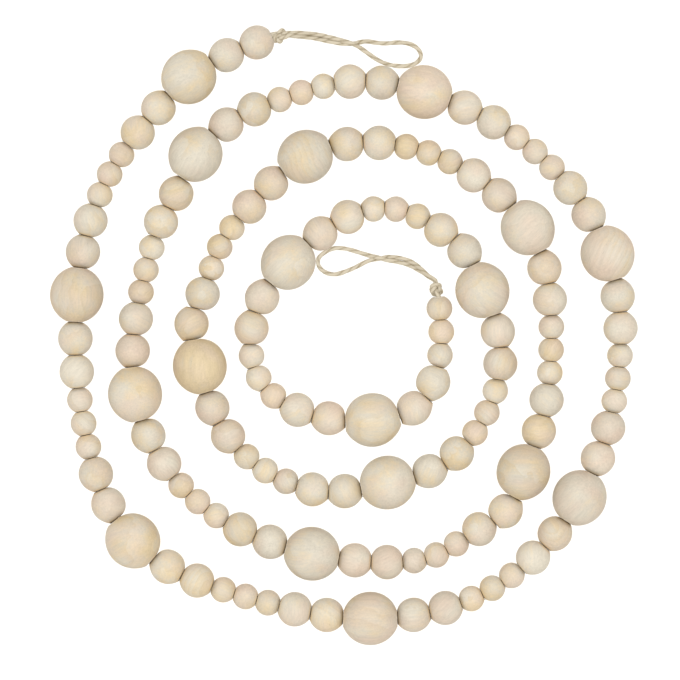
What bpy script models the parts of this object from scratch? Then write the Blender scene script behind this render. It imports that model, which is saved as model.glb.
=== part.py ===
"""Wood bead garland, coiled flat on a table.

18 large, 72 medium and 54 small turned beads hang together on one twine, with a knotted hanging loop at
each end. Each large bead is a part of its own, and the smaller beads between two large ones are one run,
joined by the twine in their holes. Units are metres, +Z is up and the table is at z = 0.
"""

import math
from collections import namedtuple

import bmesh
import bpy
import numpy as np
from mathutils import Matrix, Vector

MM = 0.001
UP = Vector((0, 0, 1))

# Beads. reach is half the length that a bead takes on the twine, half_hole is half the length of its hole,
# and profile holds the turned outline's rings as (along the hole, away from it) in parts of the radius.
BeadKind = namedtuple("BeadKind", "radius reach half_hole profile sides")
LARGE = BeadKind(12.5 * MM, 12.5 * MM, 12.0 * MM, ((0.22, 1.0), (0.58, 0.84), (0.85, 0.55)), 12)
MEDIUM = BeadKind(8.0 * MM, 7.62 * MM, 7.3 * MM, ((0.28, 1.0), (0.80, 0.64)), 8)
SMALL = BeadKind(6.0 * MM, 5.46 * MM, 5.36 * MM, ((0.28, 1.0), (0.80, 0.64)), 8)
LARGE_GAP = 0.47 * MM

SMOOTH_ANGLE = math.radians(50)

# The beads' order on the twine
FULL_RUN = (MEDIUM, MEDIUM, SMALL, SMALL, SMALL, MEDIUM, MEDIUM)
FIRST_RUN = (MEDIUM, MEDIUM)
LAST_RUN = (MEDIUM, MEDIUM, SMALL, SMALL, SMALL)

# The coil, from its outer end inwards, seen from above. Each row is one section of the string: the place of
# its large bead, and the way that the run after it takes, in millimetres. A way has one point in the middle of
# its run, and more where the string bends unevenly.
Section = namedtuple("Section", "bead way")
OUTER_END = (-41, 136)
SECTIONS = (
    Section((-72, 120), ((-86, 106), (-109, 75))),
    Section((-124, 19), ((-121, -41),)),
    Section((-98, -95), ((-46, -121),)),
    Section((12, -131), ((69, -117),)),
    Section((109, -75), ((127, -20),)),
    Section((122, 38), ((88, 86),)),
    Section((37, 113), ((3, 118), (-20, 113))),
    Section((-69, 84), ((-78, 66), (-85, 53), (-92, 31))),
    Section((-97, -27), ((-68, -77),)),
    Section((-15, -101), ((19, -105), (42, -102), (62, -90), (75, -81))),
    Section((83, -63), ((90, -45), (96, -7))),
    Section((85, 50), ((72, 65), (39, 85))),
    Section((-18, 83), ((-44, 60), (-58, 41), (-66, 19), (-71, 5))),
    Section((-67, -14), ((-61, -34), (-36, -63), (1, -72))),
    Section((20, -68), ((39, -63), (66, -36), (71, 3))),
    Section((64, 21), ((56, 39), (45, 49), (23, 59))),
    Section((-26, 34), ((-43, 4), (-40, -19))),
    Section((13, -39), ((33, -33), (45, 3))),
)
INNER_END = (44, 14)
ROUTE_STEP = 0.5 * MM
ROUTE_AHEAD = 2

# Twine
TWINE_RADIUS = 0.85 * MM
TWINE_SIDES = 8
PLY_OFFSET = 1.2 * MM
LOOP_STEP = 3.0 * MM
LOOP_FLOOR = TWINE_RADIUS + 0.25 * MM

# Knots, with the ridges that the turns of the twine leave and their gaps to the bead and to the loop. A knot
# is flat past KNOT_END of its half length.
KNOT_LENGTH = 5.6 * MM
KNOT_WIDTH = 6.6 * MM
BEAD_GAP = 0.7 * MM
LOOP_GAP = 1.1 * MM
KNOT_SEGMENTS = 14
KNOT_RINGS = 9
KNOT_RIDGES = 3
RIDGE_DEPTH = 0.10
RIDGE_TWIST = 1.6
KNOT_END = 0.86

# Hanging loops, in millimetres: knot is where the knot points, lead is the middle of the two strands that lie
# together from there, with their turns round each other, and eye is the single strand's way round.
HangingLoop = namedtuple("HangingLoop", "knot lead turns eye")
OUTER_LOOP = HangingLoop(
    knot=(-27.0, 139.8),
    lead=((-20.2, 139.8, 6.0), (-10.7, 138.7, 2.8), (-3.1, 137.0, 2.2), (4.8, 135.7, 2.2)),
    turns=1.5,
    eye=((9.8, 136.9), (14.2, 136.4), (19.4, 136.0), (25.2, 136.4), (30.7, 135.6), (34.3, 133.3),
         (35.6, 129.9), (33.2, 126.8), (27.0, 125.4), (19.8, 126.4), (12.7, 130.1)),
)
INNER_LOOP = HangingLoop(
    knot=(41.3, 24.6),
    lead=((37.1, 29.3, 4.6), (31.7, 33.1, 2.8), (25.7, 35.2, 2.2), (20.0, 35.9, 2.2), (14.4, 36.2, 2.2)),
    turns=2.0,
    eye=((3.9, 39.7), (-1.7, 40.8), (-6.0, 40.4), (-9.8, 38.3), (-12.2, 35.5), (-11.7, 32.2), (-8.9, 29.6),
         (-4.6, 28.6), (0.2, 29.8), (5.8, 32.2)),
)

# Colours as linear RGB: the wood's tones follow each other along the string
WOOD_TONES = ((0.75, 0.60, 0.41), (0.70, 0.54, 0.36), (0.78, 0.65, 0.47), (0.73, 0.57, 0.42))
WOOD_ROUGHNESS = 0.65
TWINE_COLOUR = (0.72, 0.62, 0.46)
TWINE_ROUGHNESS = 0.9


def clear_scene():
    """Removes every object, so that the script gives the same model each time."""
    for obj in list(bpy.data.objects):
        bpy.data.objects.remove(obj)


def make_material(name, colour, roughness):
    """Returns a plain surface of one colour."""
    material = bpy.data.materials.new(name)
    material.use_nodes = True
    surface = material.node_tree.nodes["Principled BSDF"]
    surface.inputs["Base Color"].default_value = (*colour, 1.0)
    surface.inputs["Roughness"].default_value = roughness
    surface.inputs["Metallic"].default_value = 0.0
    return material


def smooth_line(points, step):
    """Returns points about step apart on the natural cubic spline through points, and where each point is."""
    knots = np.array(points, dtype=float)
    spans = np.linalg.norm(np.diff(knots, axis=0), axis=1)
    count = len(knots)
    system = np.eye(count)
    wanted = np.zeros_like(knots)
    slopes = np.diff(knots, axis=0) / spans[:, None]
    for i in range(1, count - 1):
        system[i, i - 1:i + 2] = spans[i - 1], 2 * (spans[i - 1] + spans[i]), spans[i]
        wanted[i] = 6 * (slopes[i] - slopes[i - 1])
    bends = np.linalg.solve(system, wanted)
    line = []
    marks = []
    for i, span in enumerate(spans):
        marks.append(len(line))
        slope = slopes[i] - span * (2 * bends[i] + bends[i + 1]) / 6
        change = (bends[i + 1] - bends[i]) / (6 * span)
        for t in np.linspace(0, span, max(1, round(span / step)), endpoint=False):
            line.append(knots[i] + slope * t + bends[i] * t**2 / 2 + change * t**3)
    marks.append(len(line))
    line.append(knots[-1])
    return np.array(line), marks


class Route:
    """The twine's way through the beads, seen from above, measured by its length."""

    def __init__(self, points, step):
        self.line, marks = smooth_line(points, step)
        steps = np.linalg.norm(np.diff(self.line, axis=0), axis=1)
        self.lengths = np.concatenate(([0.0], np.cumsum(steps)))
        self.marks = self.lengths[marks]

    def place(self, length):
        """Returns the point at a length, straight on past either end."""
        inside = min(max(length, 0.0), self.lengths[-1])
        point = Vector([np.interp(inside, self.lengths, self.line[:, axis]) for axis in (0, 1)]).to_3d()
        return point + self.direction(inside) * (length - inside)

    def direction(self, length):
        """Returns the level direction of the twine at a length."""
        i = int(np.clip(np.searchsorted(self.lengths, length), ROUTE_AHEAD, len(self.line) - 1 - ROUTE_AHEAD))
        return Vector(self.line[i + ROUTE_AHEAD] - self.line[i - ROUTE_AHEAD]).to_3d().normalized()


def coil_route():
    """Returns the route through the coil's sections, and the large beads' places on it."""
    points = [OUTER_END]
    stops = []
    for row in SECTIONS:
        stops.append(len(points))
        points += [row.bead, *row.way]
    points.append(INNER_END)
    route = Route(np.array(points) * MM, ROUTE_STEP)
    return route, [float(route.marks[stop]) for stop in stops]


def level_step(first, second):
    """Returns how far apart two neighbours on the table lie, seen from above."""
    reach = first.reach + second.reach
    return math.sqrt(reach**2 - (first.radius - second.radius)**2)


def large_step():
    """Returns the same for a large bead and the medium one that faces it, which stay clear of each other."""
    return LARGE.reach + MEDIUM.half_hole + LARGE_GAP


def run_lengths(kinds, start, end=None):
    """Returns the place on the route of each bead in a run, spread evenly when the end is given too."""
    steps = [level_step(a, b) for a, b in zip(kinds, kinds[1:])]
    stretch = (end - start) / sum(steps) if end is not None else 1.0
    lengths = [start]
    for step in steps:
        lengths.append(lengths[-1] + step * stretch)
    return lengths


def run_places(large):
    """Returns each run as a list of (kind, place) along the route, given the large beads' places."""
    gap = large_step()
    first_length = sum(level_step(a, b) for a, b in zip(FIRST_RUN, FIRST_RUN[1:]))
    runs = [list(zip(FIRST_RUN, run_lengths(FIRST_RUN, large[0] - gap - first_length)))]
    for here, there in zip(large, large[1:]):
        runs.append(list(zip(FULL_RUN, run_lengths(FULL_RUN, here + gap, there - gap))))
    runs.append(list(zip(LAST_RUN, run_lengths(LAST_RUN, large[-1] + gap))))
    return runs


def ring_matrix(centre, axis, sides):
    """Returns the frame of a ring square to an axis, turned so that its lowest side is level."""
    level = axis.cross(UP).normalized()
    rise = level.cross(axis).normalized()
    frame = Matrix((level, rise, axis)).transposed().to_4x4()
    return Matrix.Translation(centre) @ frame @ Matrix.Rotation(math.pi / sides, 4, "Z")


def loft(name, rings, sides):
    """Returns a closed solid over rings of (centre, axis, radius), whose flat sides touch each radius."""
    bm = bmesh.new()
    loops = []
    for centre, axis, radius in rings:
        corner = radius / math.cos(math.pi / sides)
        matrix = ring_matrix(centre, axis, sides)
        made = bmesh.ops.create_circle(bm, segments=sides, radius=corner, matrix=matrix)
        loops.append(list(dict.fromkeys(edge for vert in made["verts"] for edge in vert.link_edges)))
    for lower, upper in zip(loops, loops[1:]):
        bmesh.ops.bridge_loops(bm, edges=lower + upper)
    for end in (loops[0], loops[-1]):
        bmesh.ops.contextual_create(bm, geom=end)
    bmesh.ops.recalc_face_normals(bm, faces=bm.faces)
    return object_from(bm, name)


def object_from(bm, name):
    """Returns a smooth shaded object made of a finished mesh."""
    mesh = bpy.data.meshes.new(name)
    bm.to_mesh(mesh)
    bm.free()
    mesh.shade_smooth()
    mesh.set_sharp_from_angle(angle=SMOOTH_ANGLE)
    obj = bpy.data.objects.new(name, mesh)
    bpy.context.collection.objects.link(obj)
    return obj


def turned_rings(kind, centre, axis, start_end, finish_end):
    """Returns a bead's rings, with the flat round its hole at each end that no neighbour joins."""
    outline = [(-along, away) for along, away in reversed(kind.profile)] + list(kind.profile)
    rings = [(centre + axis * (along * kind.radius), axis, away * kind.radius) for along, away in outline]
    flat = math.sqrt(kind.radius**2 - kind.half_hole**2)
    if start_end:
        rings.insert(0, (centre - axis * kind.half_hole, axis, flat))
    if finish_end:
        rings.append((centre + axis * kind.half_hole, axis, flat))
    return rings


def bead_pose(route, kind, length, before=None, after=None):
    """Returns a bead's centre, as it rests on the table, and the level direction of its hole.

    before and after are the places of a large bead beside it, which the hole faces.
    """
    spot = route.place(length)
    axis = route.direction(length)
    if before is not None:
        axis = (spot - route.place(before)).normalized()
    if after is not None:
        axis = (route.place(after) - spot).normalized()
    return spot + UP * kind.radius, axis


def build_large_bead(name, route, length):
    """Builds one large bead."""
    centre, axis = bead_pose(route, LARGE, length)
    return loft(name, turned_rings(LARGE, centre, axis, True, True), LARGE.sides)


def build_run(name, route, run, before, after):
    """Builds the beads of one run, joined by the twine between each bead and the next."""
    rings = []
    last = len(run) - 1
    poses = []
    for i, (kind, length) in enumerate(run):
        facing = {"before": before if i == 0 else None, "after": after if i == last else None}
        poses.append((kind, *bead_pose(route, kind, length, **facing)))
    for i, (kind, centre, axis) in enumerate(poses):
        rings += turned_rings(kind, centre, axis, i == 0, i == last)
        if i < last:
            next_kind, next_centre, next_axis = poses[i + 1]
            leaving = centre + axis * kind.half_hole
            entering = next_centre - next_axis * next_kind.half_hole
            between = (next_centre - centre).normalized()
            rings.append(((leaving + entering) / 2, between, TWINE_RADIUS))
    return loft(name, rings, SMALL.sides)


def build_knot(name, hole, axis):
    """Builds a knot against a bead's hole, with axis pointing away from the bead."""
    bm = bmesh.new()
    bmesh.ops.create_uvsphere(bm, u_segments=KNOT_SEGMENTS, v_segments=KNOT_RINGS, radius=1.0)
    for vert in bm.verts:
        height = vert.co.z
        turn = KNOT_RIDGES * math.atan2(vert.co.y, vert.co.x) + RIDGE_TWIST * math.pi * height
        vert.co.xy *= 1 + RIDGE_DEPTH * math.cos(turn)
        vert.co.z = max(min(height, KNOT_END), -KNOT_END) / KNOT_END
    centre = hole + axis * (BEAD_GAP + KNOT_LENGTH / 2)
    size = Matrix.Diagonal((KNOT_WIDTH / 2, KNOT_WIDTH / 2, KNOT_LENGTH / 2, 1.0))
    bmesh.ops.transform(bm, matrix=ring_matrix(centre, axis, KNOT_SEGMENTS) @ size, verts=bm.verts)
    bmesh.ops.recalc_face_normals(bm, faces=bm.faces)
    return object_from(bm, name)


def loop_points(loop, start):
    """Returns the twine's way out of a knot, round a hanging loop's eye and back."""
    middle = smooth_line([start] + [Vector(point) * MM for point in loop.lead], LOOP_STEP)[0]
    aheads = np.gradient(middle, axis=0)
    out = []
    back = []
    for i, (centre, ahead) in enumerate(zip(middle, aheads)):
        ahead = Vector(ahead).normalized()
        side = ahead.cross(UP).normalized()
        turn = 2 * math.pi * loop.turns * i / (len(middle) - 1)
        ply = PLY_OFFSET * (side * math.cos(turn) + ahead.cross(side) * math.sin(turn))
        out.append(Vector(centre) + ply)
        back.append(Vector(centre) - ply)
    eye = [Vector((x * MM, y * MM, LOOP_FLOOR)) for x, y in loop.eye]
    if (out[-1] - eye[0]).length > (back[-1] - eye[0]).length:
        out, back = back, out
    return smooth_line(out + eye + back[::-1], LOOP_STEP)[0]


def build_loop(name, loop, start):
    """Builds a hanging loop's twine as one bevelled curve."""
    points = loop_points(loop, start)
    curve = bpy.data.curves.new(name, "CURVE")
    curve.dimensions = "3D"
    spline = curve.splines.new("POLY")
    spline.points.add(len(points) - 1)
    for spot, point in zip(spline.points, points):
        spot.co = (*point, 1.0)
    curve.bevel_depth = TWINE_RADIUS
    curve.bevel_resolution = TWINE_SIDES // 4
    curve.use_fill_caps = True
    spline.use_smooth = True
    obj = bpy.data.objects.new(name, curve)
    bpy.context.collection.objects.link(obj)
    return obj


def build_end(label, loop, route, kind, length, outwards):
    """Builds the knot and the hanging loop at one end of the string."""
    centre, axis = bead_pose(route, kind, length)
    hole = centre + axis * (kind.half_hole * outwards)
    aim = Vector((loop.knot[0] * MM, loop.knot[1] * MM, hole.z)) - hole
    axis = aim.normalized()
    start = hole + axis * (BEAD_GAP + KNOT_LENGTH + LOOP_GAP)
    return build_knot(f"knot_{label}", hole, axis), build_loop(f"loop_{label}", loop, start)


def stand_on_origin(beads, everything):
    """Moves everything level, so that the middle of the beads' outline is over the origin."""
    corners = np.array([vert.co for obj in beads for vert in obj.data.vertices])
    middle = (corners.min(axis=0) + corners.max(axis=0)) / 2
    for obj in everything:
        obj.data.transform(Matrix.Translation((-middle[0], -middle[1], 0)))


def build_garland():
    """Builds the garland and gives every part its material."""
    route, large = coil_route()
    runs = run_places(large)
    wooden = []
    for number, (before, run, after) in enumerate(zip([None] + large, runs, large + [None])):
        wooden.append(build_run(f"run_{number:02d}", route, run, before, after))
        if after is not None:
            wooden.append(build_large_bead(f"bead_large_{number + 1:02d}", route, after))
    first_kind, first_length = runs[0][0]
    last_kind, last_length = runs[-1][-1]
    twine = [*build_end("outer", OUTER_LOOP, route, first_kind, first_length, -1),
             *build_end("inner", INNER_LOOP, route, last_kind, last_length, 1)]
    stand_on_origin(wooden, wooden + twine)
    for number, obj in enumerate(wooden):
        tone = WOOD_TONES[number % len(WOOD_TONES)]
        obj.data.materials.append(make_material(f"{obj.name} wood", tone, WOOD_ROUGHNESS))
    for obj in twine:
        obj.data.materials.append(make_material(f"{obj.name} twine", TWINE_COLOUR, TWINE_ROUGHNESS))


clear_scene()
build_garland()
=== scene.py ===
"""Wood bead garland: turned and drilled wooden beads on twine, with a knotted hanging loop at each end.

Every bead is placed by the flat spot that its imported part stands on. Lengths are metres.
"""

import math
import random
from collections import namedtuple

import bmesh
import bpy
import numpy as np
from bpy.props import FloatProperty, FloatVectorProperty, PointerProperty
from mathutils import Matrix, Vector


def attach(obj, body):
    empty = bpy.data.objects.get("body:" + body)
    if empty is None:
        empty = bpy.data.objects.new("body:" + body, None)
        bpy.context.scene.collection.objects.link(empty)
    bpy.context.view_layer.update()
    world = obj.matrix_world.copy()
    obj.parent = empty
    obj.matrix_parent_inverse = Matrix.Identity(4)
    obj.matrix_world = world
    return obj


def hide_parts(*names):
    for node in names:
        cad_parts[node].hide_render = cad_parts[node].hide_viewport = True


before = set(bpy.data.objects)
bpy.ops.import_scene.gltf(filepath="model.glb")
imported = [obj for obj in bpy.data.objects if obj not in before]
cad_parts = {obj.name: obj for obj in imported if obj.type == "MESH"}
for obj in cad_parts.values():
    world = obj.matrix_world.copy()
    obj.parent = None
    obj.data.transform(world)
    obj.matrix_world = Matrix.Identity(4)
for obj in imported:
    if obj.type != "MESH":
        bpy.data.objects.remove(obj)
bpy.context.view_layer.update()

bl_info = {
    "name": "Wood Bead Garland",
    "version": (1, 0, 0),
    "blender": (4, 5, 0),
    "location": "3D View > Sidebar > Garland",
    "description": "Builds a coiled garland of wooden beads on knotted twine",
    "category": "Add Mesh",
}

MM = 0.001
UP = Vector((0, 0, 1))

# The order of the beads on the twine, by size, from one large bead to the next
LARGE_COUNT = 18
FULL_RUN = "MMSSSMM"
FIRST_RUN = "MM"
LAST_RUN = "MMSSS"

# How a packed bead is found: it stands on four corners
FOOT_CORNERS = 4
FOOT_HEIGHT = 0.05 * MM
SAME_CORNER = 0.1 * MM

# How many sides a turned bead has, by its size, and how many steps its rounded edges have
BEAD_SIDES = {"L": 64, "M": 48, "S": 40}
ROUNDING_STEPS = 2

# Neighbouring beads' flats nearly meet. For that a bead may be longer or shorter, and its flats may lean.
JOINT_GAP = 0.04 * MM
MOST_STRETCH = 0.05
MOST_LEAN = 0.27
LEAN_DEPTH = 8

# Painted shade in the holes and in the crevices where beads meet: how far from its flats a bead is browned,
# as a share of the larger bead's radius, and where in that it gets dark. It is less so as its neighbour's
# surface is further off.
PAINTED_SHADE_REACH = 0.12
PAINTED_SHADE_DARK = (0.5, 0.95)
PAINTED_SHADE_TINT = (0.96, 0.77, 0.44)
NEIGHBOUR_NEAR = 1.3 * MM
NEIGHBOUR_FAR = 4.2 * MM
HOLE_EDGE = 0.05

# Twine of two plies, with a waist between them. Inside the beads it has a longer step, and goes through three
# places of each hole. Its twist, in radians, and its width change slowly along it, by two waves.
TWINE_SIDES = 12
TWINE_STEP = 0.45 * MM
THREAD_STEP = 1.2 * MM
THREAD_PLACES = (-0.8, 0.0, 0.8)
PLY_WAIST = 0.86
TWIST_SWAY = 1.1
WIDTH_SWAY = 0.05
SWAY_LONG = 6.1 * MM
SWAY_SHORT = 2.7 * MM

# Painted shade where strands touch. How near, in radii, another strand's middle is where a strand is darkened
# most by it, and where not at all
TOUCH_NEAR = 1.0
TOUCH_FAR = 1.45
TOUCH_APART = 2.5
TOUCH_DARK = 0.3

# Hanging loops, in millimetres from the middle of the coil. The knot points at knot. Two strands lie together
# along lead, given as x, y, the least height of their middle, how far they have turned round each other in
# degrees, and how far each is from their middle. The single strand goes round along eye. A knot is as full as
# fullness says.
HangingLoop = namedtuple("HangingLoop", "knot fullness turn lead eye")
OUTER_LOOP = HangingLoop(
    knot=(-27.0, 139.8),
    fullness=1.0,
    turn=-45,
    lead=((-20.2, 139.8, 5.4, 5, 0.84), (-10.7, 138.7, 2.2, 10, 1.0), (-3.1, 137.0, 0, 20, 0.92),
          (2.6, 136.0, 0, 70, 0.7), (6.2, 135.5, 0, 155, 0.9)),
    eye=((9.8, 136.9), (14.2, 136.4), (19.4, 136.0), (25.2, 136.4), (30.7, 135.6), (34.3, 133.3),
         (35.6, 129.9), (33.2, 126.8), (27.0, 125.4), (19.8, 126.4), (12.7, 130.1)),
)
INNER_LOOP = HangingLoop(
    knot=(42.4, 24.6),
    fullness=1.2,
    turn=90,
    lead=((37.1, 29.3, 4.2, 110, 0.8), (31.7, 33.1, 2.0, 165, 0.9), (25.7, 35.2, 0, 185, 1.0),
          (20.0, 35.9, 0, 215, 0.9), (13.4, 36.2, 0, 340, 0.75)),
    eye=((3.9, 39.7), (-1.7, 40.8), (-6.0, 40.4), (-9.8, 38.3), (-12.2, 35.5), (-11.7, 32.2), (-8.9, 29.6),
         (-4.6, 28.6), (0.2, 29.8), (5.8, 32.2)),
)
COIL_MIDDLE = Vector((-0.211 * MM, 0.468 * MM, 0))
LEAD_STEP = 3.0 * MM
KNOT_OFFSET = 0.8
CROSSING = 1.2
TABLE_GAP = 0.12 * MM
KNOT_REACH = 7.4 * MM

# The overhand knot in the doubled twine is tied loose and pulled tight, with its ends held apart. Each pull
# evens the lengths between its points, and then pushes the strands off each other.
KNOT_POINTS = 56
KNOT_END_POINTS = 8
KNOT_PULLS = 420
KNOT_EVENINGS = 3
KNOT_PUSHES = 2
KNOT_TIGHT_AT = 0.77
KNOT_EASE = 0.25
KNOT_PUSH = 0.45
KNOT_CALM = 0.6
KNOT_FOLD = 1.45
KNOT_HELD = 11.0 * MM
KNOT_LOOSE = 1.9 * MM
KNOT_LIFT = 0.42
KNOT_SPREAD = 2.1
KNOT_TIGHT = 34.0 * MM
KNOT_SQUEEZE = (0.74, 1.15, 1.0)
KNOT_GAP = 0.45 * MM
KNOT_STEP = 0.9 * MM
NO_LENGTH = 1e-9
STRAND_WIDTH = 1.45 * MM
HOLE_DEPTH = 2.5 * MM
LEAD_OVERLAP = 0.8 * MM

# How much golden and how much pinkish wood a tone has, and how clear its rings are
TONES = {
    "grey": (0.20, 0.02, 0.6),
    "rosy": (0.12, 0.45, 0.6),
    "mixed": (0.38, 0.25, 0.6),
    "yellow": (0.55, 0.0, 0.6),
    "honey": (0.70, 0.10, 0.8),
    "pink": (0.50, 0.50, 0.8),
    "amber": (0.80, 0.35, 0.8),
    "golden": (1.30, 0.20, 0.8),
}
TONES_OF_KIND = {
    "M": ("grey", "grey", "rosy", "mixed", "yellow", "pink", "amber"),
    "S": ("mixed", "yellow", "pink", "pink", "amber"),
}
TONE_SPREAD = 0.16
LIGHT_SPREAD = 0.045

# How far the log's length leans from upright in a bead, in degrees, and how far its heart is from the middle
Grain = namedtuple("Grain", "lean heart")
GRAINS = {"ringed": Grain(4, 1.0 * MM), "curved": Grain(55, 9.0 * MM), "lined": Grain(88, 18.0 * MM)}
HEART_SPREAD = (0.5, 1.5)

# The random tones, grains and turns of the beads start from this seed
SEED = 7

# Patterns in the wood and the twine: how fine each is along the three axes, and its noise
Pattern = namedtuple("Pattern", "fineness scale detail roughness")
WOOD_PATTERNS = {
    "wander": Pattern((1.0, 1.0, 1.0), 90.0, 2.0, 0.5),
    "blotch": Pattern((1.0, 1.0, 1.0), 75.0, 1.0, 0.5),
    "stain": Pattern((-1.0, 1.3, 0.8), 90.0, 1.0, 0.5),
    "streak": Pattern((1000.0, 1000.0, 60.0), 1.1, 3.0, 0.6),
    "band": Pattern((1000.0, 1000.0, 60.0), 0.28, 1.0, 0.5),
    "speckle": Pattern((1.0, 1.0, 1.0), 1300.0, 1.0, 0.5),
    "pore": Pattern((1000.0, 1000.0, 180.0), 2.2, 1.0, 0.5),
}
TWINE_PATTERNS = {
    "fibre": Pattern((500.0, 3200.0, 3200.0), 1.0, 3.0, 0.65),
    "patch": Pattern((90.0, 300.0, 300.0), 1.0, 1.0, 0.5),
}

# How strongly each pattern moves the shares of golden and pinkish wood, the wood's shade, and the twine's
# dark colour, which is both dark fibre and painted shade
GOLDEN_MIX = {"blotch": 2.3, "streak": 1.1, "band": 1.2, "ring": 0.5}
PINK_MIX = {"stain": 2.0, "speckle": 0.4}
SHADE_MIX = {"streak": 0.34, "band": 0.16, "speckle": 0.16, "ring": -0.05}
TWINE_MIX = {"fibre": 1.2, "patch": 0.9}

# Growth rings are long with the log, wander by this many rings, and end in a sharp edge
RING_FINENESS = (1.0, 1.0, 0.12)
RING_WANDER = 1.6
RING_EDGE = 2.2

# Where in its pattern a pore starts and is darkest, and how much it darkens the wood
PORES = (0.72, 0.80)
PORE_SHADE = 0.2

# How narrow the painted shade in the groove between the twine's plies is
GROOVE_EDGE = 1.8

# Relief of a surface, as its strength and depth, and how much a surface shines
WOOD_RELIEF = (0.25, 0.06 * MM)
TWINE_RELIEF = (0.8, 0.12 * MM)
SHINE = 0.25

# Stage: the floor's half width and uneven shade, the lamp's spread in degrees, and where the view starts
FLOOR_REACH = 4.0
FLOOR_PATTERN = Pattern((1.0, 1.0, 1.0), 3.0, 2.0, 0.5)
FLOOR_SHADE = 0.99
FLOOR_UNEVEN = 0.02
LAMP_SPREAD = 60
NEAREST_SEEN = 0.01

# The large beads, from the outer end: tone, grain, and the grain's direction in degrees from +X
LARGE_LOOKS = (
    ("yellow", "curved", 30), ("amber", "lined", 90), ("honey", "curved", 30), ("pink", "lined", 0),
    ("rosy", "curved", 45), ("pink", "lined", 60), ("pink", "curved", 0), ("grey", "curved", 60),
    ("honey", "ringed", 0), ("grey", "curved", 0), ("amber", "lined", 0), ("rosy", "lined", 45),
    ("yellow", "curved", 120), ("golden", "lined", 90), ("grey", "ringed", 0), ("mixed", "curved", 150),
    ("grey", "curved", 45), ("yellow", "lined", 0),
)

Bead = namedtuple("Bead", "kind middle axis")
BeadKind = namedtuple("BeadKind", "radius half_hole bore sides")
End = namedtuple("End", "stretch lean centre radius")
OPEN_END = End(1.0, 0.0, None, 0.0)


class BeadSizes(bpy.types.PropertyGroup):
    """Sizes of the turned beads."""

    large: FloatProperty(name="Large Bead", description="Diameter of a large bead",
                         default=25.0 * MM, unit="LENGTH")
    medium: FloatProperty(name="Medium Bead", description="Diameter of a medium bead",
                          default=16.0 * MM, unit="LENGTH")
    small: FloatProperty(name="Small Bead", description="Diameter of a small bead",
                         default=12.0 * MM, unit="LENGTH")
    large_flat: FloatProperty(name="Large Flat", description="Width of the flat round a large bead's hole",
                              default=7.0 * MM, unit="LENGTH")
    medium_flat: FloatProperty(name="Medium Flat", description="Width of the flat round a medium bead's hole",
                               default=6.0 * MM, unit="LENGTH")
    small_flat: FloatProperty(name="Small Flat", description="Width of the flat round a small bead's hole",
                              default=5.2 * MM, unit="LENGTH")
    large_bore: FloatProperty(name="Large Hole", description="Diameter of a large bead's hole",
                              default=4.0 * MM, unit="LENGTH")
    medium_bore: FloatProperty(name="Medium Hole", description="Diameter of a medium bead's hole",
                               default=3.2 * MM, unit="LENGTH")
    small_bore: FloatProperty(name="Small Hole", description="Diameter of a small bead's hole",
                              default=2.8 * MM, unit="LENGTH")
    mouth_round: FloatProperty(name="Mouth Rounding", description="Rounding at each hole's edge",
                               default=0.2 * MM, unit="LENGTH")
    flat_round: FloatProperty(name="Flat Rounding", description="Rounding at the outer edge of each flat",
                              default=0.55 * MM, unit="LENGTH")
    off_round: FloatProperty(name="Off Round", description="How much a hand turned bead differs from a ball",
                             default=0.008, min=0.0, max=0.05, subtype="FACTOR")


class WoodFinish(bpy.types.PropertyGroup):
    """Colours of the bare wood, and of the shade painted in its holes and between beads."""

    pale: FloatVectorProperty(name="Pale Wood", description="Colour of the greyest, palest wood",
                              default=(0.601, 0.560, 0.479), size=3, subtype="COLOR")
    golden: FloatVectorProperty(name="Golden Wood", description="Colour of the most golden wood",
                                default=(0.597, 0.491, 0.327), size=3, subtype="COLOR")
    pink: FloatVectorProperty(name="Pinkish Wood", description="Colour of the most pinkish wood",
                              default=(0.597, 0.493, 0.405), size=3, subtype="COLOR")
    # Painted shade: the near black colour in the holes and in the crevices where neighbouring beads meet
    painted_shade: FloatVectorProperty(name="Painted Shade", description="Colour of the painted shade in the holes and between beads",
                               default=(0.045, 0.018, 0.006), size=3, subtype="COLOR")
    ring_width: FloatProperty(name="Ring Width", description="Distance between growth rings",
                              default=2.4 * MM, unit="LENGTH")
    roughness: FloatProperty(name="Roughness", description="Roughness of the sanded wood",
                             default=0.62, min=0.0, max=1.0, subtype="FACTOR")


class TwineFinish(bpy.types.PropertyGroup):
    """Thickness, twist and colours of the twine."""

    thickness: FloatProperty(name="Thickness", description="Diameter of the twine",
                             default=2.1 * MM, unit="LENGTH")
    twist: FloatProperty(name="Twist", description="Length of one whole turn of the two plies",
                         default=11.0 * MM, unit="LENGTH")
    light: FloatVectorProperty(name="Light Fibre", description="Colour on top of the plies",
                               default=(0.565, 0.51, 0.405), size=3, subtype="COLOR")
    # Painted shade between the plies and where strands touch, and the darker fibres, take this colour
    dark: FloatVectorProperty(name="Dark Fibre and Painted Shade", description="Colour between the plies",
                              default=(0.30, 0.245, 0.158), size=3, subtype="COLOR")
    roughness: FloatProperty(name="Roughness", description="Roughness of the fibres",
                             default=0.9, min=0.0, max=1.0, subtype="FACTOR")


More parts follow.
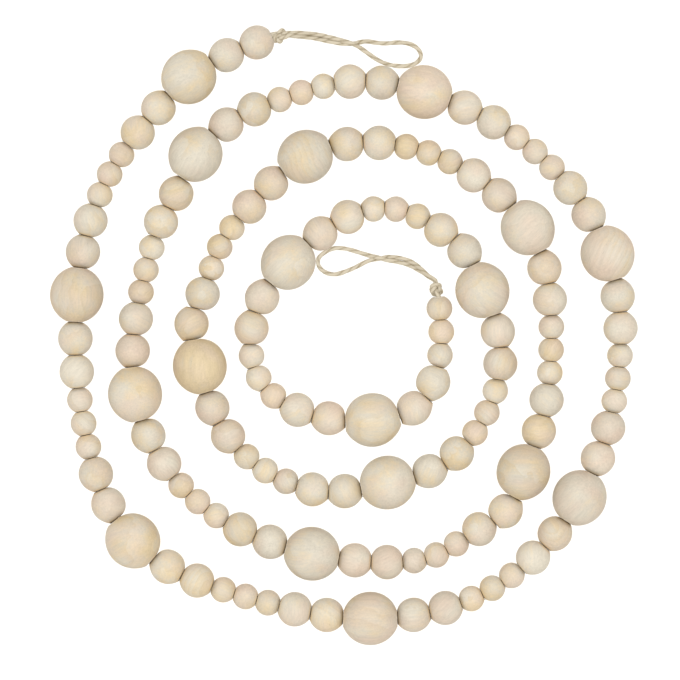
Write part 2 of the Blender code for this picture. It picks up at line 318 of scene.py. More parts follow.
class StageSettings(bpy.types.PropertyGroup):
    """Camera, floor and light."""

    lens: FloatProperty(name="Lens", description="Focal length of the camera", default=400.0, unit="CAMERA")
    width: FloatProperty(name="Width in View", description="Width that the camera sees at the beads' middle",
                         default=315.5 * MM, unit="LENGTH")
    aim: FloatVectorProperty(name="Aim", description="Point in the middle of the view",
                             default=(-1.8 * MM, -2.4 * MM, 9.0 * MM), size=3, subtype="XYZ", unit="LENGTH")
    sky: FloatProperty(name="Sky", description="Strength of the even light from all round", default=0.5)
    sky_colour: FloatVectorProperty(name="Sky Colour", description="Colour of the even light",
                                    default=(1.0, 0.88, 0.70), size=3, subtype="COLOR")
    lamp: FloatProperty(name="Lamp", description="Strength of the light from above", default=2.9)
    lamp_colour: FloatVectorProperty(name="Lamp Colour", description="Colour of the light from above",
                                     default=(0.93, 0.965, 1.0), size=3, subtype="COLOR")
    floor: FloatVectorProperty(name="Floor", description="Colour of the floor",
                               default=(0.90, 0.90, 0.90), size=3, subtype="COLOR")


def add_node(tree, kind, inputs=None, **settings):
    """Adds a shader node, with its settings, and links or sets its inputs by name or number."""
    node = tree.nodes.new(kind)
    for name, value in settings.items():
        setattr(node, name, value)
    for key, value in (inputs or {}).items():
        if isinstance(value, bpy.types.NodeSocket):
            tree.links.new(value, node.inputs[key])
        else:
            node.inputs[key].default_value = value
    return node


def math_node(tree, operation, first, second=0.0):
    """Returns the result of one sum."""
    return add_node(tree, "ShaderNodeMath", {0: first, 1: second}, operation=operation).outputs[0]


def scaled(tree, vector, factors):
    """Returns a vector times a factor for each axis."""
    node = add_node(tree, "ShaderNodeVectorMath", {0: vector, 1: factors}, operation="MULTIPLY")
    return node.outputs["Vector"]


def noise(tree, vector, pattern):
    """Returns a pattern's noise, from 0 to 1."""
    inputs = {"Vector": scaled(tree, vector, pattern.fineness), "Scale": pattern.scale,
              "Detail": pattern.detail, "Roughness": pattern.roughness}
    return add_node(tree, "ShaderNodeTexNoise", inputs).outputs["Fac"]


def spread(tree, value, low, high):
    """Returns 0 where value is at low or less and 1 where it is at high or more."""
    node = add_node(tree, "ShaderNodeMapRange", {"Value": value, "From Min": low, "From Max": high},
                    interpolation_type="SMOOTHSTEP")
    return node.outputs["Result"]


def mixed_in(tree, value, change, strength):
    """Returns value raised or lowered as change is over or under a half."""
    moved = math_node(tree, "SUBTRACT", change, 0.5)
    return math_node(tree, "ADD", value, math_node(tree, "MULTIPLY", moved, strength))


def all_mixed_in(tree, value, patterns, mix):
    """Returns value raised or lowered by every pattern that a mix names."""
    for name, strength in mix.items():
        value = mixed_in(tree, value, patterns[name], strength)
    return value


def blend(tree, factor, first, second):
    """Returns a colour between two."""
    node = tree.nodes.new("ShaderNodeMix")
    node.data_type = "RGBA"
    for key, value in (("Factor_Float", factor), ("A_Color", first), ("B_Color", second)):
        socket = next(s for s in node.inputs if s.identifier == key)
        if isinstance(value, bpy.types.NodeSocket):
            tree.links.new(value, socket)
        else:
            socket.default_value = value
    return next(s for s in node.outputs if s.identifier == "Result_Color")


def opaque(colour):
    """Returns a colour with full alpha."""
    return (*colour, 1.0)


def new_material(name, roughness):
    """Returns a material's node tree with its surface shader."""
    material = bpy.data.materials.new(name)
    material.use_nodes = True
    tree = material.node_tree
    surface = tree.nodes["Principled BSDF"]
    surface.inputs["Roughness"].default_value = roughness
    surface.inputs["Specular IOR Level"].default_value = SHINE
    return material, tree, surface


def add_relief(tree, surface, height, strength, depth):
    """Gives a surface fine relief."""
    bump = add_node(tree, "ShaderNodeBump", {"Height": height, "Strength": strength, "Distance": depth})
    tree.links.new(bump.outputs["Normal"], surface.inputs["Normal"])


def wood_material(finish):
    """Returns bare sanded wood with rings, streaks, blotches and pores, lying its own way in each bead, and
    painted shade in its holes and between beads.
    """
    material, tree, surface = new_material("bead wood", finish.roughness)
    grain = add_node(tree, "ShaderNodeAttribute", attribute_name="grain").outputs["Vector"]
    tone = add_node(tree, "ShaderNodeAttribute", attribute_name="tone").outputs["Color"]
    parts = add_node(tree, "ShaderNodeSeparateColor", {"Color": tone})
    golden, pink, rings = parts.outputs[0], parts.outputs[1], parts.outputs[2]
    light = add_node(tree, "ShaderNodeAttribute", attribute_name="light").outputs["Fac"]
    # Painted shade: how much a point is browned and darkened in its hole and where neighbouring beads meet
    painted_shade = add_node(tree, "ShaderNodeAttribute", attribute_name="painted_shade").outputs["Fac"]
    dark = spread(tree, painted_shade, *PAINTED_SHADE_DARK)

    patterns = {name: noise(tree, grain, pattern) for name, pattern in WOOD_PATTERNS.items()}
    across = scaled(tree, grain, RING_FINENESS)
    distance = add_node(tree, "ShaderNodeVectorMath", {0: across}, operation="LENGTH").outputs["Value"]
    count = math_node(tree, "DIVIDE", distance, finish.ring_width)
    count = mixed_in(tree, count, patterns["wander"], RING_WANDER)
    ring = math_node(tree, "POWER", math_node(tree, "FRACT", count), RING_EDGE)
    patterns["ring"] = math_node(tree, "MULTIPLY", ring, rings)
    pores = spread(tree, patterns["pore"], *PORES)

    golden = all_mixed_in(tree, golden, patterns, GOLDEN_MIX)
    pink = all_mixed_in(tree, pink, patterns, PINK_MIX)
    colour = blend(tree, golden, opaque(finish.pale), opaque(finish.golden))
    colour = blend(tree, pink, colour, opaque(finish.pink))
    shade = all_mixed_in(tree, light, patterns, SHADE_MIX)
    shade = math_node(tree, "SUBTRACT", shade, math_node(tree, "MULTIPLY", pores, PORE_SHADE))
    colour = scaled(tree, colour, shade)
    # Painted shade: browned, then near black, in the holes and in the crevices between beads
    colour = blend(tree, painted_shade, colour, scaled(tree, colour, PAINTED_SHADE_TINT))
    colour = blend(tree, dark, colour, opaque(finish.painted_shade))
    tree.links.new(colour, surface.inputs["Base Color"])

    add_relief(tree, surface, math_node(tree, "SUBTRACT", patterns["streak"], pores), *WOOD_RELIEF)
    return material


def twine_material(finish):
    """Returns natural twine: painted shade between its plies and where strands touch, with fine fibres along
    it.
    """
    material, tree, surface = new_material("natural twine", finish.roughness)
    strand = add_node(tree, "ShaderNodeAttribute", attribute_name="strand").outputs["Vector"]
    # Painted shade between the plies and where strands touch
    painted_twine_shade = add_node(tree, "ShaderNodeAttribute", attribute_name="painted_twine_shade").outputs["Fac"]
    patterns = {name: noise(tree, strand, pattern) for name, pattern in TWINE_PATTERNS.items()}
    dark = all_mixed_in(tree, math_node(tree, "POWER", painted_twine_shade, GROOVE_EDGE), patterns, TWINE_MIX)
    colour = blend(tree, dark, opaque(finish.light), opaque(finish.dark))
    tree.links.new(colour, surface.inputs["Base Color"])
    add_relief(tree, surface, patterns["fibre"], *TWINE_RELIEF)
    return material


def floor_material(colour):
    """Returns a plain matt white, a little uneven."""
    material, tree, surface = new_material("pale floor", 1.0)
    place = add_node(tree, "ShaderNodeTexCoord").outputs["Object"]
    shade = mixed_in(tree, FLOOR_SHADE, noise(tree, place, FLOOR_PATTERN), FLOOR_UNEVEN)
    tree.links.new(scaled(tree, shade, colour), surface.inputs["Base Color"])
    return material


def object_from(bm, name, material):
    """Returns a smooth shaded object made of a finished mesh, riding with the string."""
    mesh = bpy.data.meshes.new(name)
    bm.to_mesh(mesh)
    bm.free()
    mesh.shade_smooth()
    mesh.materials.append(material)
    obj = bpy.data.objects.new(name, mesh)
    bpy.context.scene.collection.objects.link(obj)
    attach(obj, "root")
    return obj


def foot_corners(node):
    """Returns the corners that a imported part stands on, seen from above, each once."""
    corners = []
    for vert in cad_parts[node].data.vertices:
        spot = vert.co.to_2d()
        if vert.co.z < FOOT_HEIGHT and all((spot - other).length > SAME_CORNER for other in corners):
            corners.append(spot)
    return corners


def bead_middles(node, count, last):
    """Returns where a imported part's beads stand, in their order along the string, which comes from last."""
    corners = foot_corners(node)
    middles = []
    for _ in range(count):
        corners.sort(key=lambda corner: (corner - last).length)
        foot, corners = corners[:FOOT_CORNERS], corners[FOOT_CORNERS:]
        last = sum(foot, Vector((0, 0))) / FOOT_CORNERS
        middles.append(last)
    return middles


def read_string():
    """Returns the string as a list of its large beads and runs, in order, with each bead aimed along it."""
    groups = [FIRST_RUN] + ["L", FULL_RUN] * (LARGE_COUNT - 1) + ["L", LAST_RUN]
    first_large = bead_middles("bead_large_01", 1, Vector((0, 0)))[0]
    middles = bead_middles("run_00", len(FIRST_RUN), first_large)[::-1]
    for number, group in enumerate(groups[1:], 1):
        middles += bead_middles(node_name(number), len(group), middles[-1])
    steps = [(b - a).normalized() for a, b in zip(middles, middles[1:])]
    axes = [(before + after).normalized() for before, after in zip(steps[:1] + steps, steps + steps[-1:])]
    beads = iter([Bead(*row) for row in zip("".join(groups), middles, axes)])
    return [[next(beads) for _ in group] for group in groups]


def node_name(number):
    """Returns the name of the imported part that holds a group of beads, by its number along the string."""
    return f"bead_large_{(number + 1) // 2:02d}" if number % 2 else f"run_{number // 2:02d}"


def bead_kinds(sizes):
    """Returns each size of bead, by its letter."""
    kinds = {}
    for letter, width, flat, bore in (
        ("L", sizes.large, sizes.large_flat, sizes.large_bore),
        ("M", sizes.medium, sizes.medium_flat, sizes.medium_bore),
        ("S", sizes.small, sizes.small_flat, sizes.small_bore),
    ):
        half_hole = math.sqrt(width**2 - flat**2) / 2
        kinds[letter] = BeadKind(width / 2, half_hole, bore / 2, BEAD_SIDES[letter])
    return kinds


def turn_bead(kind, sizes):
    """Returns the mesh of one turned bead round the origin, drilled along X and flat at the hole's ends."""
    bm = bmesh.new()
    bmesh.ops.create_uvsphere(bm, u_segments=kind.sides, v_segments=kind.sides // 2, radius=kind.radius)
    mouths = []
    rims = []
    for side in (1, -1):
        cut = bmesh.ops.bisect_plane(bm, geom=bm.verts[:] + bm.edges[:] + bm.faces[:], clear_outer=True,
                                     plane_co=(0, 0, side * kind.half_hole), plane_no=(0, 0, side))
        rim = [part for part in cut["geom_cut"] if isinstance(part, bmesh.types.BMEdge)]
        flat = bmesh.ops.extrude_edge_only(bm, edges=rim)["geom"]
        inner = [part for part in flat if isinstance(part, bmesh.types.BMVert)]
        shrink = kind.bore / inner[0].co.to_2d().length
        bmesh.ops.scale(bm, vec=(shrink, shrink, 1.0), verts=inner)
        mouths += [part for part in flat if isinstance(part, bmesh.types.BMEdge)]
        rims += rim
    bmesh.ops.bridge_loops(bm, edges=mouths)
    for edges, rounding in ((rims, sizes.flat_round), (mouths, sizes.mouth_round)):
        bmesh.ops.bevel(bm, geom=edges, offset=rounding, offset_type="OFFSET", segments=ROUNDING_STEPS,
                        profile=0.5, affect="EDGES", material=-1)
    bmesh.ops.recalc_face_normals(bm, faces=bm.faces)
    if bm.calc_volume(signed=True) < 0:
        bmesh.ops.reverse_faces(bm, faces=bm.faces)
    bmesh.ops.rotate(bm, matrix=Matrix.Rotation(math.radians(90), 3, "Y"), verts=bm.verts)
    mesh = bpy.data.meshes.new("turned bead")
    bm.to_mesh(mesh)
    bm.free()
    return mesh


def clamped(value, low, high):
    """Returns value, or the limit that it is past."""
    return min(max(value, low), high)


def meeting_ends(first, second, kinds):
    """Returns how two neighbours' ends are stretched and lean so as to meet, and where their neighbours are.

    The larger bead's flat leans less.
    """
    pair = (first, second)
    facing = sum((bead.axis * kinds[bead.kind].radius**2 for bead in pair), Vector((0, 0))).normalized()
    halves = sum(kinds[bead.kind].half_hole * bead.axis.dot(facing) for bead in pair)
    room = (second.middle - first.middle).dot(facing) - JOINT_GAP
    stretch = clamped(room / halves, 1 - MOST_STRETCH, 1 + MOST_STRETCH)
    ends = []
    for bead, other in (pair, pair[::-1]):
        lean = clamped(math.tan(bead.axis.angle_signed(facing)), -MOST_LEAN, MOST_LEAN)
        radius = kinds[other.kind].radius
        ends.append(End(stretch, lean, other.middle.to_3d() + UP * radius, radius))
    return ends


def painted_shade_at(kind, spot, place, end):
    """Returns how much painted shade a point of a bead gets: full in its hole, and less by its flats near the
    neighbour.
    """
    if spot.yz.length < kind.bore * (1 + HOLE_EDGE):
        return 1.0
    if end.centre is None:
        return 0.0
    depth = (kind.half_hole - abs(spot.x)) / (PAINTED_SHADE_REACH * max(kind.radius, end.radius))
    gap = (place - end.centre).length - end.radius
    near = (NEIGHBOUR_FAR - gap) / (NEIGHBOUR_FAR - NEIGHBOUR_NEAR)
    return clamped(1 - depth, 0.0, 1.0) * clamped(near, 0.0, 1.0)


def fitted(kind, spot, end):
    """Returns a point of a bead moved so that its flats meet the neighbours'."""
    reach = (abs(spot.x) / kind.half_hole) ** LEAN_DEPTH
    return Vector((spot.x * end.stretch + reach * end.lean * spot.y, spot.y, spot.z))


def add_bead(bm, layers, bead, kind, template, off_round, ends, look, rng):
    """Adds one bead to a mesh: a little off round, with its own grain and tone, and met by its neighbours."""
    tone, grain, heading = look
    before = len(bm.verts)
    bm.from_mesh(template)
    bm.verts.ensure_lookup_table()
    verts = bm.verts[before:]
    lean = math.radians(GRAINS[grain].lean)
    log = Vector((math.sin(lean), 0, math.cos(lean)))
    log.rotate(Matrix.Rotation(math.radians(heading), 3, "Z"))
    grain_turn = log.rotation_difference(UP).to_matrix()
    heart = Vector((GRAINS[grain].heart * rng.uniform(*HEART_SPREAD), 0, 0))
    heart.rotate(Matrix.Rotation(rng.uniform(0, math.tau), 3, "Z"))
    heart.z = rng.uniform(0, 1)
    tone = [share + rng.uniform(-TONE_SPREAD, TONE_SPREAD) for share in TONES[tone]] + [1.0]
    light = 1.0 + rng.uniform(-LIGHT_SPREAD, LIGHT_SPREAD)
    level = bead.axis.to_3d()
    turn = Matrix((level, UP.cross(level), UP)).transposed()
    spin = Matrix.Rotation(rng.uniform(0, math.tau), 3, "X")
    size = Matrix.Diagonal([1.0] + [1.0 + rng.uniform(-off_round, off_round) for _ in range(2)])
    centre = bead.middle.to_3d() + UP * kind.radius
    for vert in verts:
        spot = vert.co.copy()
        end = ends[1] if spot.x > 0 else ends[0]
        vert.co = turn @ fitted(kind, size @ spin @ spot, end)
        # Painted shade in the hole and where the neighbour's surface is near
        vert[layers["painted_shade"]] = painted_shade_at(kind, spot, centre + vert.co, end)
        vert[layers["grain"]] = grain_turn @ vert.co + heart
        vert[layers["tone"]] = tone
        vert[layers["light"]] = light
    rest = -min(vert.co.z for vert in verts)
    bmesh.ops.translate(bm, vec=(*bead.middle, rest), verts=verts)


def build_beads(name, node, group, ends, looks, kinds, templates, material, off_round, rng):
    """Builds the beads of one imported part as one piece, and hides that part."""
    bm = bmesh.new()
    layers = {
        "grain": bm.verts.layers.float_vector.new("grain"),
        "tone": bm.verts.layers.float_color.new("tone"),
        "light": bm.verts.layers.float.new("light"),
        # How much painted shade each point gets, in the holes and between beads
        "painted_shade": bm.verts.layers.float.new("painted_shade"),
    }
    for bead, both, look in zip(group, ends, looks):
        add_bead(bm, layers, bead, kinds[bead.kind], templates[bead.kind], off_round, both, look, rng)
    piece = object_from(bm, name, material)
    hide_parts(node)
    return piece


def smooth_line(points, step):
    """Returns points about step apart on the natural cubic spline through points, and where each point is."""
    knots = np.array(points, dtype=float)
    spans = np.linalg.norm(np.diff(knots, axis=0), axis=1)
    count = len(knots)
    system = np.eye(count)
    wanted = np.zeros_like(knots)
    slopes = np.diff(knots, axis=0) / spans[:, None]
    for i in range(1, count - 1):
        system[i, i - 1:i + 2] = spans[i - 1], 2 * (spans[i - 1] + spans[i]), spans[i]
        wanted[i] = 6 * (slopes[i] - slopes[i - 1])
    bends = np.linalg.solve(system, wanted)
    line = []
    marks = []
    for i, span in enumerate(spans):
        marks.append(len(line))
        slope = slopes[i] - span * (2 * bends[i] + bends[i + 1]) / 6
        change = (bends[i + 1] - bends[i]) / (6 * span)
        for t in np.linspace(0, span, max(1, round(span / step)), endpoint=False):
            line.append(knots[i] + slope * t + bends[i] * t**2 / 2 + change * t**3)
    marks.append(len(line))
    line.append(knots[-1])
    return [Vector(point) for point in line], marks


def loop_points(loop, start, radius):
    """Returns the twine's way out of a knot, round a hanging loop's eye and back."""
    lead = [Vector(row[:3]) * MM - COIL_MIDDLE for row in loop.lead]
    middle, marks = smooth_line([start] + lead, LEAD_STEP)
    turns = np.interp(range(len(middle)), marks, [loop.turn] + [row[3] for row in loop.lead])
    offsets = np.interp(range(len(middle)), marks, [KNOT_OFFSET] + [row[4] for row in loop.lead])
    aheads = np.gradient(np.array(middle), axis=0)
    out = []
    back = []
    for centre, ahead, turn, offset in zip(middle, aheads, np.radians(turns), offsets * MM):
        ahead = Vector(ahead).normalized()
        side = ahead.cross(UP).normalized()
        apart = (side * math.cos(turn) + CROSSING * ahead.cross(side) * math.sin(turn)) * offset
        centre.z = max(centre.z, radius + TABLE_GAP + abs(apart.z))
        out.append(centre + apart)
        back.append(centre - apart)
    eye = [Vector((x * MM, y * MM, radius + TABLE_GAP)) - COIL_MIDDLE for x, y in loop.eye]
    if (out[-1] - eye[0]).length > (back[-1] - eye[0]).length:
        out, back = back, out
    return out + eye + back[::-1]


def loose_knot():
    """Returns two strands side by side in a loose overhand knot along X."""
    t = np.linspace(-KNOT_SPREAD, KNOT_SPREAD, KNOT_POINTS)
    middle = KNOT_LOOSE * np.stack([t**3 - 3 * t, t**4 - 4 * t**2, KNOT_LIFT * (t**5 - 10 * t)], axis=1)
    middle -= middle.mean(axis=0)
    side = Vector((0, 0, 1))
    strands = ([], [])
    for point, ahead in zip(middle, np.gradient(middle, axis=0)):
        ahead = Vector(ahead).normalized()
        side = (side - ahead * side.dot(ahead)).normalized()
        strands[0].append(Vector(point) + side * STRAND_WIDTH / 2)
        strands[1].append(Vector(point) - side * STRAND_WIDTH / 2)
    held = []
    for sign, strand in zip((1, -1), strands):
        ends = [Vector((end * KNOT_HELD, 0, sign * STRAND_WIDTH / 2)) for end in (-1, 1)]
        first = [ends[0].lerp(strand[0], i / KNOT_END_POINTS) for i in range(KNOT_END_POINTS)]
        last = [ends[1].lerp(strand[-1], i / KNOT_END_POINTS) for i in range(KNOT_END_POINTS)][::-1]
        held.append(first + strand + last)
    return np.array(held)


def pull_tight(strands):
    """Shortens two held strands step by step, while they keep off each other, and returns them."""
    ends = strands[:, [0, -1]].copy()
    count = strands.shape[1]
    place = np.tile(np.arange(count), 2)
    owner = np.repeat([0, 1], count)
    loose = np.linalg.norm(np.diff(strands[0], axis=0), axis=1).sum()
    for pull in range(KNOT_PULLS):
        share = min(1.0, pull / (KNOT_PULLS * KNOT_TIGHT_AT))
        step = (loose + (KNOT_TIGHT - loose) * share) / (count - 1)
        for odd in (0, 1) * KNOT_EVENINGS:
            gaps = strands[:, 1:] - strands[:, :-1]
            long = np.linalg.norm(gaps, axis=2, keepdims=True)
            change = 0.5 * (long - step) / long * gaps
            change[:, odd::2] = 0
            strands[:, :-1] += change
            strands[:, 1:] -= change
        strands[:, 1:-1] += KNOT_EASE * ((strands[:, :-2] + strands[:, 2:]) / 2 - strands[:, 1:-1])
        along = abs(place[:, None] - place[None]) * step
        other = (owner[:, None] != owner[None]) | (along > KNOT_FOLD * STRAND_WIDTH)
        for _ in range(KNOT_PUSHES):
            points = strands.reshape(-1, 3)
            apart = points[:, None] - points[None]
            far = np.linalg.norm(apart, axis=2) + NO_LENGTH
            touching = other & (far < STRAND_WIDTH)
            push = np.where(touching, KNOT_PUSH * (STRAND_WIDTH - far) / far, 0.0)
            moves = (push[..., None] * apart).sum(axis=1)
            points += moves / np.maximum(1, touching.sum(axis=1))[:, None] ** KNOT_CALM
            strands = points.reshape(2, count, 3)
            strands[:, [0, -1]] = ends
    return strands


def knot_strands():
    """Returns the two strands of a tight knot along X, its bead side at the origin."""
    strands = pull_tight(loose_knot()) * KNOT_SQUEEZE
    bulk = np.concatenate(strands)
    bulk = bulk[np.hypot(bulk[:, 1], bulk[:, 2]) > STRAND_WIDTH]
    return strands - [bulk[:, 0].min() - STRAND_WIDTH / 2, 0, 0]


def evenly(points, step):
    """Returns points about step apart along the straight lines between points."""
    lengths = np.concatenate(([0.0], np.cumsum(np.linalg.norm(np.diff(points, axis=0), axis=1))))
    marks = np.linspace(0, lengths[-1], max(2, round(lengths[-1] / step)))
    return np.stack([np.interp(marks, lengths, points[:, axis]) for axis in range(3)], axis=1)


def end_twine(loop, tied, hole, aim, radius):
    """Returns the twine at one end of the string, from the hole through the knot, round the loop and back.

    It comes as one line, with the places on it where the loop leaves the knot and comes back.
    """
    lead = loop_points(loop, hole + aim * KNOT_REACH, radius)
    turn = Matrix.Rotation(math.radians(90 + loop.turn), 3, "X")
    full = Matrix.Diagonal((1.0, loop.fullness, loop.fullness))
    basis = Matrix((aim, UP.cross(aim), UP)).transposed() @ turn @ full
    sides = []
    for strand in tied:
        kept = [point for point in strand if -HOLE_DEPTH < point[0] < KNOT_REACH - KNOT_GAP - LEAD_OVERLAP]
        kept = evenly(np.array(kept), KNOT_STEP)
        sides.append([hole + aim * KNOT_GAP + basis @ Vector(point) for point in kept])
    if (sides[0][-1] - lead[0]).length > (sides[1][-1] - lead[0]).length:
        sides.reverse()
    line, marks = smooth_line(sides[0] + lead + sides[1][::-1], TWINE_STEP)
    for point in line:
        point.z = max(point.z, radius + TABLE_GAP)
    return line, marks[len(sides[0])], marks[len(sides[0]) + len(lead) - 1]


def sway(length):
    """Returns a slow, uneven change between -1 and 1 along the twine."""
    return (math.sin(length / SWAY_LONG) + math.sin(length / SWAY_SHORT + 1.0)) / 2


def lay_twine(bm, points, finish, first, final):
    """Adds two-ply twine along the points from first to final, closed at both ends."""
    strand = bm.verts.layers.float_vector.get("strand") or bm.verts.layers.float_vector.new("strand")
    painted_twine_shade = bm.verts.layers.float.get("painted_twine_shade") or bm.verts.layers.float.new("painted_twine_shade")
    radius = finish.thickness / 2
    aheads = [Vector(ahead).normalized() for ahead in np.gradient(np.array(points), axis=0)]
    side = aheads[0].orthogonal().normalized()
    length = 0.0
    last = None
    for i, (point, ahead) in enumerate(zip(points, aheads)):
        if i:
            side = aheads[i - 1].rotation_difference(ahead) @ side
            length += (point - points[i - 1]).length
        if not first <= i <= final:
            continue
        basis = Matrix((side, ahead.cross(side), ahead)).transposed().to_4x4()
        ring = bmesh.ops.create_circle(bm, segments=TWINE_SIDES, radius=1.0)["verts"]
        edges = list(dict.fromkeys(edge for vert in ring for edge in vert.link_edges))
        twist = TWIST_SWAY * sway(length) - math.tau * length / finish.twist
        width = radius * (1 + WIDTH_SWAY * sway(2 * length))
        for vert in ring:
            turn = math.atan2(vert.co.y, vert.co.x)
            lobe = abs(math.cos(turn - twist))
            # Painted shade in the groove between the plies
            vert[painted_twine_shade] = 1.0 - lobe
            vert[strand] = (length, vert.co.x * radius, vert.co.y * radius)
            vert.co *= width * (PLY_WAIST + (1 - PLY_WAIST) * lobe)
        bmesh.ops.transform(bm, matrix=Matrix.Translation(point) @ basis, verts=ring)
        if last:
            bmesh.ops.bridge_loops(bm, edges=last + edges)
        if i in (first, final):
            bmesh.ops.contextual_create(bm, geom=edges)
            for edge in edges:
                edge.smooth = False
        last = edges


def paint_touching_shade(bm, line, radius):
    """Paints shade on twine where another part of its line touches it."""
    points = np.array(line)
    places = np.concatenate(([0.0], np.cumsum(np.linalg.norm(np.diff(points, axis=0), axis=1))))
    strand = bm.verts.layers.float_vector.get("strand")
    painted_twine_shade = bm.verts.layers.float.get("painted_twine_shade")
    for vert in bm.verts:
        other = abs(places - vert[strand].x) > TOUCH_APART * 2 * radius
        near = np.linalg.norm(points[other] - vert.co, axis=1).min() / radius
        touch = clamped((TOUCH_FAR - near) / (TOUCH_FAR - TOUCH_NEAR), 0.0, 1.0)
        vert[painted_twine_shade] = min(1.0, vert[painted_twine_shade] + TOUCH_DARK * touch)


def build_twine(name, line, spans, finish, material, crowded=True):
    """Builds one piece of twine from the given spans of a line, with painted shade where it touches itself if
    it is crowded.
    """
    bm = bmesh.new()
    for first, final in spans:
        lay_twine(bm, line, finish, first, final)
    # Painted shade where the line touches itself
    if crowded:
        paint_touching_shade(bm, line, finish.thickness / 2)
    bmesh.ops.recalc_face_normals(bm, faces=bm.faces)
    piece = object_from(bm, name, material)
    return piece


def end_hole(bead, kind, outwards):
    """Returns the middle of the hole's mouth at an end of the string."""
    return (bead.middle.to_3d() + UP * kind.radius) + bead.axis.to_3d() * (kind.half_hole * outwards)


class GARLAND_OT_stage(bpy.types.Operator):
    """Sets the camera above the table, with a pale floor and soft light"""

    bl_idname = "garland.stage"
    bl_label = "Stage"

    def execute(self, context):
        settings = context.scene.garland_stage
        scene = context.scene
        scene.view_settings.view_transform = "Standard"
        camera = bpy.data.cameras.new("camera")
        camera.lens = settings.lens
        distance = settings.width * settings.lens / camera.sensor_width
        camera.clip_start = NEAREST_SEEN
        camera_object = bpy.data.objects.new("camera", camera)
        camera_object.location = Vector(settings.aim) + UP * distance
        scene.collection.objects.link(camera_object)
        scene.camera = camera_object

        world = bpy.data.worlds.new("soft light")
        world.use_nodes = True
        world.node_tree.nodes["Background"].inputs["Color"].default_value = opaque(settings.sky_colour)
        world.node_tree.nodes["Background"].inputs["Strength"].default_value = settings.sky
        scene.world = world
        lamp = bpy.data.lights.new("lamp", "SUN")
        lamp.energy = settings.lamp
        lamp.color = settings.lamp_colour
        lamp.angle = math.radians(LAMP_SPREAD)
        lamp.use_shadow = False
        lamp_object = bpy.data.objects.new("lamp", lamp)
        lamp_object.location = (0, 0, 1)
        scene.collection.objects.link(lamp_object)

        bm = bmesh.new()
        bmesh.ops.create_grid(bm, x_segments=2, y_segments=2, size=FLOOR_REACH)
        mesh = bpy.data.meshes.new("floor")
        bm.to_mesh(mesh)
        bm.free()
        mesh.materials.append(floor_material(settings.floor))
        floor = bpy.data.objects.new("floor", mesh)
        scene.collection.objects.link(floor)
        return {"FINISHED"}


class GARLAND_OT_ends(bpy.types.Operator):
    """Lays the knotted hanging loop at each end of the string"""

    bl_idname = "garland.ends"
    bl_label = "Knots and Hanging Loops"

    def execute(self, context):
        finish = context.scene.garland_twine
        material = twine_material(finish)
        kinds = bead_kinds(context.scene.garland_beads)
        string = read_string()
        tied = knot_strands()
        for label, loop, bead, outwards in (
            ("outer", OUTER_LOOP, string[0][0], -1),
            ("inner", INNER_LOOP, string[-1][-1], 1),
        ):
            hole = end_hole(bead, kinds[bead.kind], outwards)
            aim = (Vector((*loop.knot, 0)) * MM - COIL_MIDDLE - hole) * Vector((1, 1, 0))
            line, leaves, returns = end_twine(loop, tied, hole, aim.normalized(), finish.thickness / 2)
            knot = build_twine(f"knot_of_{label}_end", line, [(0, leaves), (returns, len(line) - 1)],
                               finish, material)
            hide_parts(f"knot_{label}")
            piece = build_twine(f"hanging_loop_{label}", line, [(leaves, returns)], finish, material)
            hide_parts(f"loop_{label}")
        return {"FINISHED"}


class GARLAND_OT_beads(bpy.types.Operator):
    """Turns, drills and places every wooden bead"""

    bl_idname = "garland.beads"
    bl_label = "Beads"

    def execute(self, context):
        sizes = context.scene.garland_beads
        kinds = bead_kinds(sizes)
        templates = {letter: turn_bead(kind, sizes) for letter, kind in kinds.items()}
        material = wood_material(context.scene.garland_wood)
        rng = random.Random(SEED)
        string = read_string()
        row = [bead for group in string for bead in group]
        joints = [meeting_ends(first, second, kinds) for first, second in zip(row, row[1:])]
        befores = [OPEN_END] + [second for _, second in joints]
        afters = [first for first, _ in joints] + [OPEN_END]
        ends = list(zip(befores, afters))
        for number, group in enumerate(string):
            both, ends = ends[:len(group)], ends[len(group):]
            if group[0].kind == "L":
                name = f"large_bead_{(number + 1) // 2:02d}"
                looks = [LARGE_LOOKS[number // 2]]
            else:
                name = f"beads_of_run_{number // 2:02d}"
                looks = [(rng.choice(TONES_OF_KIND[bead.kind]), rng.choice(list(GRAINS)), rng.uniform(0, 360))
                         for bead in group]
            build_beads(name, node_name(number), group, both, looks, kinds, templates, material,
                        sizes.off_round, rng)
        return {"FINISHED"}


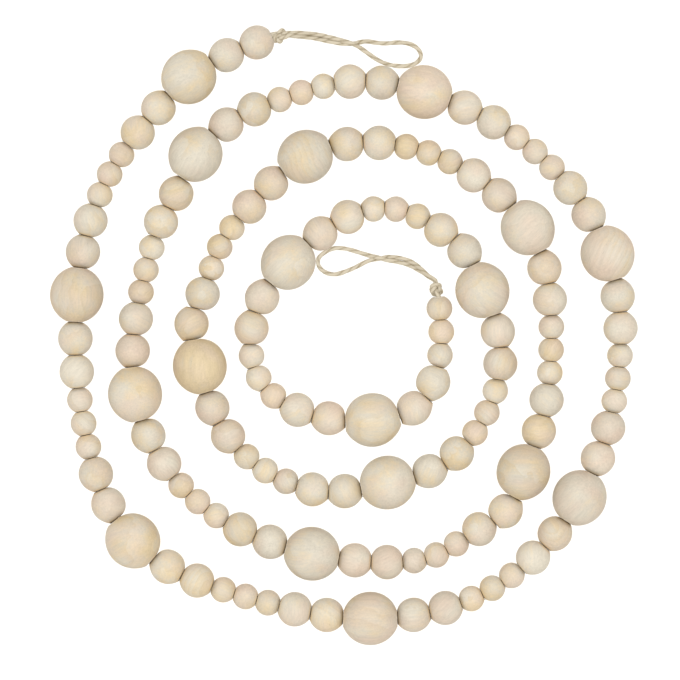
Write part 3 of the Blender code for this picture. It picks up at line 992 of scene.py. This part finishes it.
class GARLAND_OT_stringing(bpy.types.Operator):
    """Threads the twine through all the beads"""

    bl_idname = "garland.stringing"
    bl_label = "Stringing Twine"

    def execute(self, context):
        finish = context.scene.garland_twine
        kinds = bead_kinds(context.scene.garland_beads)
        points = []
        for group in read_string():
            for bead in group:
                kind = kinds[bead.kind]
                centre = bead.middle.to_3d() + UP * kind.radius
                axis = bead.axis.to_3d()
                points += [centre + axis * kind.half_hole * place for place in THREAD_PLACES]
        line = smooth_line(points, THREAD_STEP)[0]
        spans = [(0, len(line) - 1)]
        build_twine("stringing_twine", line, spans, finish, twine_material(finish), crowded=False)
        return {"FINISHED"}


class GARLAND_PT_panel(bpy.types.Panel):
    """Lists the steps and the sizes of the garland"""

    bl_idname = "GARLAND_PT_panel"
    bl_label = "Wood Bead Garland"
    bl_space_type = "VIEW_3D"
    bl_region_type = "UI"
    bl_category = "Garland"

    def draw(self, context):
        for operator in OPERATORS:
            self.layout.operator(operator.bl_idname)
        for settings in PROPERTY_GROUPS:
            column = self.layout.column(align=True)
            for name in settings.__annotations__:
                column.prop(getattr(context.scene, PROPERTY_GROUPS[settings]), name)


PROPERTY_GROUPS = {
    BeadSizes: "garland_beads",
    WoodFinish: "garland_wood",
    TwineFinish: "garland_twine",
    StageSettings: "garland_stage",
}
OPERATORS = (GARLAND_OT_stage, GARLAND_OT_ends, GARLAND_OT_beads, GARLAND_OT_stringing)


def register():
    """Registers the settings, the steps and the panel."""
    for settings, name in PROPERTY_GROUPS.items():
        bpy.utils.register_class(settings)
        setattr(bpy.types.Scene, name, PointerProperty(type=settings))
    for cls in (*OPERATORS, GARLAND_PT_panel):
        bpy.utils.register_class(cls)


def unregister():
    """Removes what register added."""
    for cls in reversed((*OPERATORS, GARLAND_PT_panel)):
        bpy.utils.unregister_class(cls)
    for settings, name in reversed(PROPERTY_GROUPS.items()):
        delattr(bpy.types.Scene, name)
        bpy.utils.unregister_class(settings)


def main():
    """Builds the garland on its stage."""
    register()
    bpy.ops.garland.stage()
    bpy.ops.garland.ends()
    bpy.ops.garland.beads()
    bpy.ops.garland.stringing()


if __name__ == "__main__":
    main()
